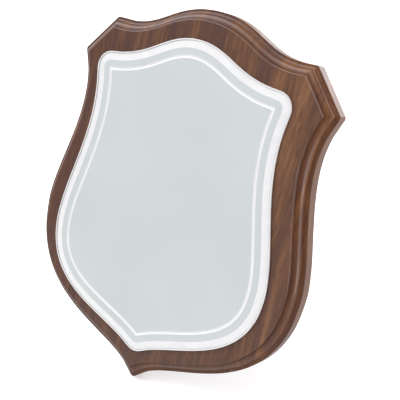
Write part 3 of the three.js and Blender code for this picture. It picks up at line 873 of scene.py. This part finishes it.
# Node: its material, its slot, and the width of the bevel along its edges.
KEPT_NODES = {
    "shield_core": (FIBREBOARD, "mdf", 0),
    "back_laminate": (PAPER, "backing_paper", 0),
    "plate_adhesive": (TAPE, "adhesive", 0),
    "board_hinge_leaf": (ZINC, "steel", 0.15 * MM),
    "strut_hinge_leaf": (ZINC, "steel", 0.15 * MM),
    "hinge_pin": (ZINC, "steel", 0),
    "sawtooth_hanger": (BRASSED, "brassed_steel", 0.12 * MM),
    "strut_foot_left": (RUBBER, "rubber", 0.5 * MM),
    "strut_foot_right": (RUBBER, "rubber", 0.5 * MM),
}


def dress(node, material):
    """Gives a CAD node its material."""
    piece = frame["nodes"][node]
    piece.data.materials.clear()
    piece.data.materials.append(material)


def soften(node, width):
    """A small bevel along a CAD node's sharp edges."""
    bevel = frame["nodes"][node].modifiers.new("soft_edges", "BEVEL")
    bevel.width = width
    bevel.segments = 2
    bevel.limit_method = "ANGLE"
    bevel.angle_limit = math.radians(SOFT_ANGLE)


walnut_skin()
silver_plate()
strut_board()
for node in frame["nodes"]:
    if "screw" in node:
        wood_screw(node, BRASSED if node.startswith("hanger") else ZINC)
    elif "rivet" in node:
        dome_rivet(node)
    elif "bumper" in node:
        rubber_bumper(node)
for node, (material, slot, width) in KEPT_NODES.items():
    dress(node, material)
    if width:
        soften(node, width)


# ---- stage, lights and camera --------------------------------------------------------------

CAMERA_AZIMUTH = 34.5    # degrees to the viewer's right of the plaque's front
CAMERA_ELEVATION = 30.3
CAMERA_ROLL = 1.1
CAMERA_DISTANCE = 0.5845
CAMERA_LENS = 72.8       # millimetres, as the sensor's width
CAMERA_SENSOR = 36
CAMERA_TARGET = (0.0149, 0.0070, 0.1323)

FLOOR_RADIUS = 4
FLOOR_DROP = 0.4 * MM    # below the tip, which would sink into the floor otherwise


def direction(azimuth, elevation):
    """Unit vector from the object towards a place seen at that azimuth and elevation."""
    a, e = math.radians(azimuth), math.radians(elevation)
    return Vector((math.sin(a) * math.cos(e), -math.cos(a) * math.cos(e), math.sin(e)))


def camera():
    """The view from slightly above, to the right of the plaque's front."""
    data = bpy.data.cameras.new("camera")
    data.lens = CAMERA_LENS
    data.sensor_width = CAMERA_SENSOR
    data.clip_start = 0.01
    eye = bpy.data.objects.new("camera", data)
    bpy.context.scene.collection.objects.link(eye)
    back = direction(CAMERA_AZIMUTH, CAMERA_ELEVATION)
    eye.location = Vector(CAMERA_TARGET) + back * CAMERA_DISTANCE
    roll = Matrix.Rotation(math.radians(CAMERA_ROLL), 3, "Z").to_quaternion()
    eye.rotation_euler = (back.to_track_quat("Z", "Y") @ roll).to_euler()
    bpy.context.scene.camera = eye


def floor():
    """White paper to the camera. To the object it is an evenly glowing grey."""
    place = (0, 0, -FLOOR_DROP)
    bpy.ops.mesh.primitive_circle_add(vertices=96, radius=FLOOR_RADIUS, fill_type="NGON", location=place)
    ground = bpy.context.object
    ground.name = "floor"
    n = Nodes("white_paper")
    tooth = n.noise(n.place(), even(900), detail=2)
    seen = n.add("LightPath").outputs["Is Camera Ray"]
    paper = n.ramp(tooth, (0.3, 0.94), (0.7, 0.98))
    n.set(Base_Color=n.mix(seen, (0.4, 0.4, 0.4), paper), Roughness=0.9)
    n.set(Emission_Color=(1, 1, 1, 1), Emission_Strength=n.range(seen, 0, 1, 0.4, 0.25))
    ground.data.materials.append(n.material)


# Soft lights of the studio, seen from the object: azimuth, elevation, half-width, strength.
# They fade smoothly to nothing at their edges.
STUDIO_BASE = 0.28
STUDIO_TINT = (0.985, 0.975, 1.0, 1)
STUDIO_LIGHTS = [
    ("overhead", -74, 54, 33, 4.3),
    ("front_top", 15, 68, 34, 1.3),
    ("back_wall", 158, 9, 50, 3.4),
    ("left_wall", -92, 14, 34, 1.8),
    ("front_left", -24, 17, 28, 0.5),
    ("right_strip", 68, 3, 20, 6.5),
]


def studio():
    """Dim room with big soft lights, made as a world shader."""
    sky = bpy.data.worlds.new("studio")
    sky.use_nodes = True
    tree = sky.node_tree
    background = tree.nodes["Background"]
    ray = tree.nodes.new("ShaderNodeTexCoord").outputs["Generated"]
    total = None
    for name, azimuth, elevation, half_width, strength in STUDIO_LIGHTS:
        aim = tree.nodes.new("ShaderNodeVectorMath")
        aim.operation = "DOT_PRODUCT"
        aim.label = name
        aim.inputs[1].default_value = direction(azimuth, elevation)
        tree.links.new(ray, aim.inputs[0])
        fade = tree.nodes.new("ShaderNodeMapRange")
        fade.interpolation_type = "SMOOTHSTEP"
        fade.inputs["From Min"].default_value = math.cos(math.radians(half_width))
        fade.inputs["From Max"].default_value = math.cos(math.radians(half_width * 0.5))
        fade.inputs["To Max"].default_value = strength
        tree.links.new(aim.outputs["Value"], fade.inputs["Value"])
        add = tree.nodes.new("ShaderNodeMath")
        tree.links.new(fade.outputs[0], add.inputs[0])
        if total is None:
            add.inputs[1].default_value = STUDIO_BASE
        else:
            tree.links.new(total, add.inputs[1])
        total = add.outputs[0]
    tree.links.new(total, background.inputs["Strength"])
    background.inputs["Color"].default_value = STUDIO_TINT
    # The camera itself sees the studio as plain white.
    white = tree.nodes.new("ShaderNodeBackground")
    seen = tree.nodes.new("ShaderNodeLightPath").outputs["Is Camera Ray"]
    switch = tree.nodes.new("ShaderNodeMixShader")
    tree.links.new(seen, switch.inputs[0])
    tree.links.new(background.outputs[0], switch.inputs[1])
    tree.links.new(white.outputs[0], switch.inputs[2])
    white.inputs["Color"].default_value = (1, 1, 1, 1)
    tree.links.new(switch.outputs[0], tree.nodes["World Output"].inputs["Surface"])
    bpy.context.scene.world = sky


studio()
floor()
camera()
bpy.context.scene.view_settings.view_transform = "Standard"
